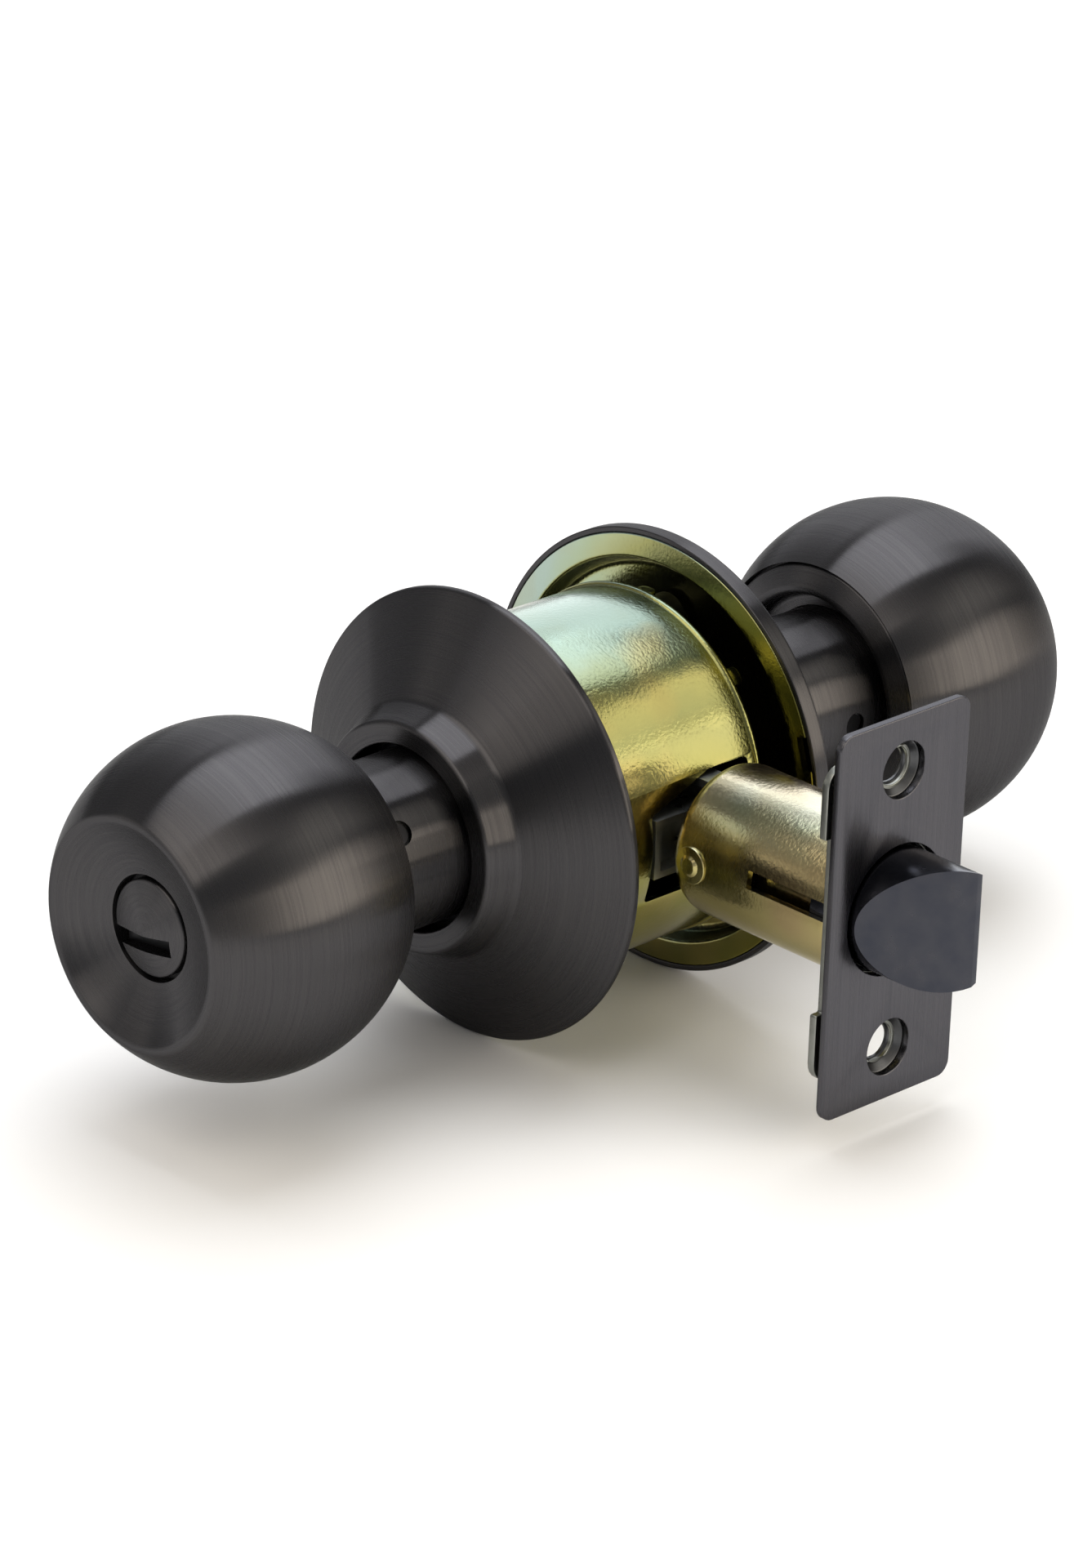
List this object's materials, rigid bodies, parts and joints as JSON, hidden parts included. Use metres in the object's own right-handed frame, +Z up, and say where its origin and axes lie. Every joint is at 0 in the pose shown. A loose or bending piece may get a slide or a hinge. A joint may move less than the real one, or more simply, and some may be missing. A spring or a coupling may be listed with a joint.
{
  "type": "bathroom knob lock",
  "caption": "Round-knob privacy lock for a door: coin-slot knob outside, push-button knob inside, bored drum and spring latch.",
  "frame": {"origin": "where the axis of the knobs crosses the axis of the latch, inside the drum", "axes": "-Y points to the outside of the door, +Y to the inside, +X to the edge of the door where the bolt comes out, +Z up"},
  "size_m": [0.1046, 0.1671, 0.0654],
  "materials": {
    "black_nickel": "black nickel plating over finely brushed steel sheet, satin",
    "yellow_zinc": "yellow iridescent zinc plating, semi-bright",
    "bright_zinc": "clear bright zinc plating",
    "spring_steel": "bare spring steel, drawn",
    "dark_steel": "dark phosphated steel, slightly oily",
    "nylon_bush": "moulded black nylon, matt",
    "bolt_metal": "die-cast bolt with black nickel plating, smooth satin"
  },
  "bodies": {
    "chassis": {"chassis_drum": "yellow_zinc", "outer_end_plate": "dark_steel", "inner_end_plate": "dark_steel", "spring_seat": "bright_zinc", "mounting_plate": "yellow_zinc", "mounting_screws": "bright_zinc", "inner_rose": "black_nickel", "outer_rose": "black_nickel", "outer_rose_liner": "bright_zinc", "latch_tube": "yellow_zinc", "prong_bracket": "bright_zinc", "tube_rivets": "yellow_zinc", "backing_plate": "bright_zinc", "faceplate": "black_nickel", "retractor_spring_upper": "spring_steel", "retractor_spring_lower": "spring_steel", "latch_spring": "spring_steel"},
    "outer_knob_body": {"outer_knob": "black_nickel", "outer_knob_collar": "black_nickel", "outer_knob_neck": "black_nickel", "outer_spindle": "bright_zinc", "release_housing": "nylon_bush"},
    "release_turn_body": {"release_turn": "black_nickel", "release_clip": "spring_steel", "release_spindle": "bright_zinc"},
    "outer_catch_body": {"outer_knob_catch": "dark_steel"},
    "inner_knob_body": {"inner_knob": "black_nickel", "inner_knob_collar": "black_nickel", "inner_knob_neck": "black_nickel", "inner_spindle": "bright_zinc", "button_housing": "nylon_bush", "button_spring": "spring_steel"},
    "push_button_body": {"push_button": "black_nickel", "button_stem": "bright_zinc", "locking_plunger": "bright_zinc"},
    "inner_catch_body": {"inner_knob_catch": "dark_steel"},
    "retractor_body": {"retractor": "bright_zinc"},
    "latch_bolt_body": {"latch_bolt": "bolt_metal", "latch_tail": "bright_zinc"}
  },
  "joints": [
    {"name": "outer_knob_turn", "type": "hinge", "parent": "chassis", "child": "outer_knob_body", "pos_m": [0, 0, 0], "axis": [0, 1, 0], "range_deg": [0, 60], "stiffness_Nm_per_rad": 0.35},
    {"name": "inner_knob_turn", "type": "hinge", "parent": "chassis", "child": "inner_knob_body", "pos_m": [0, 0, 0], "axis": [0, 1, 0], "range_deg": [-60, 60], "stiffness_Nm_per_rad": 0.35},
    {"name": "retractor_slide", "type": "slide", "parent": "chassis", "child": "retractor_body", "axis": [-1, 0, 0], "range_m": [0, 0.012], "deforming": ["retractor_spring_upper", "retractor_spring_lower"]},
    {"name": "latch_bolt_slide", "type": "slide", "parent": "chassis", "child": "latch_bolt_body", "axis": [-1, 0, 0], "range_m": [0, 0.012], "deforming": ["latch_spring"]},
    {"name": "push_button_press", "type": "slide", "parent": "inner_knob_body", "child": "push_button_body", "axis": [0, -1, 0], "range_m": [0, 0.004], "stiffness_N_per_m": 250, "deforming": ["button_spring"]},
    {"name": "release_turn_swivel", "type": "hinge", "parent": "outer_knob_body", "child": "release_turn_body", "pos_m": [0, -0.0817, 0], "axis": [0, 1, 0], "range_deg": [0, 90]},
    {"name": "outer_catch_press", "type": "slide", "parent": "outer_knob_body", "child": "outer_catch_body", "axis": [-0.8192, 0, -0.5736], "range_m": [0, 0.0016], "stiffness_N_per_m": 500},
    {"name": "inner_catch_press", "type": "slide", "parent": "inner_knob_body", "child": "inner_catch_body", "axis": [-1, 0, 0], "range_m": [0, 0.0016], "stiffness_N_per_m": 500}
  ],
  "couplings": [
    {"joint": "retractor_slide", "follows": "outer_knob_turn", "m_per_rad": 0.011459},
    {"joint": "latch_bolt_slide", "follows": "outer_knob_turn", "m_per_rad": 0.011459}
  ]
}
